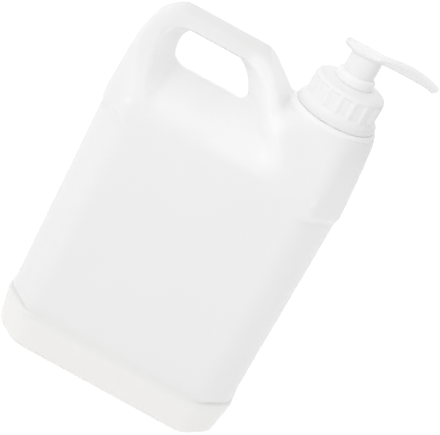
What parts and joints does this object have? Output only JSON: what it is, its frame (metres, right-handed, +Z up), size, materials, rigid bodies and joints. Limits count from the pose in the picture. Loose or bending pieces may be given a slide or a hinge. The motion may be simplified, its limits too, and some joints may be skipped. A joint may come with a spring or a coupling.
{
  "type": "pump oil bottle",
  "caption": "Slim white plastic bottle with a moulded carrying handle and a screw-on lotion pump, pushed down and locked, for dispensing massage oil.",
  "frame": {"origin": "middle of the base outline, on the plane that the bottle stands on", "axes": "+Z up, +X from the handle towards the neck and the spout, -Y the front"},
  "size_m": [0.162, 0.08, 0.2541],
  "materials": {
    "bottle_hdpe": "natural white blow-moulded polyethylene, satin",
    "pump_plastic": "white injection-moulded polypropylene, semi-gloss",
    "housing_plastic": "natural polypropylene",
    "piston_plastic": "soft natural polyethylene",
    "tube_plastic": "extruded natural polyethylene",
    "gasket_foam": "white foam liner",
    "steel": "bright stainless steel"
  },
  "bodies": {
    "bottle": {"bottle": "bottle_hdpe"},
    "pump_unit": {"pump_housing": "housing_plastic", "lock_ring": "pump_plastic", "neck_gasket": "gasket_foam", "dip_tube": "tube_plastic", "ball_cage": "housing_plastic", "return_spring": "steel"},
    "closure": {"closure": "pump_plastic"},
    "piston": {"piston": "piston_plastic"},
    "plunger": {"stem": "housing_plastic", "pump_head": "pump_plastic", "piston_seat": "housing_plastic"},
    "inlet_ball": {"inlet_ball": "steel"},
    "outlet_ball": {"outlet_ball": "steel"}
  },
  "joints": [
    {"name": "pump_lift", "type": "slide", "parent": "bottle", "child": "pump_unit", "axis": [0, 0, 1], "range_m": [0, 0.005]},
    {"name": "closure_turn", "type": "hinge", "parent": "pump_unit", "child": "closure", "pos_m": [0.0444, 0, 0.22], "axis": [0, 0, 1], "range_deg": [0, 420]},
    {"name": "plunger_slide", "type": "slide", "parent": "pump_unit", "child": "piston", "axis": [0, 0, 1], "range_m": [0, 0.02], "deforming": ["return_spring"]},
    {"name": "head_swivel", "type": "hinge", "parent": "piston", "child": "plunger", "pos_m": [0.0444, 0, 0.24], "axis": [0, 0, 1], "continuous": true},
    {"name": "inlet_ball_lift", "type": "slide", "parent": "pump_unit", "child": "inlet_ball", "axis": [0, 0, 1], "range_m": [0, 0.0018]},
    {"name": "outlet_ball_lift", "type": "slide", "parent": "plunger", "child": "outlet_ball", "axis": [0, 0, 1], "range_m": [0, 0.0011]}
  ],
  "couplings": [
    {"joint": "pump_lift", "follows": "closure_turn", "m_per_rad": 0.00067322}
  ]
}
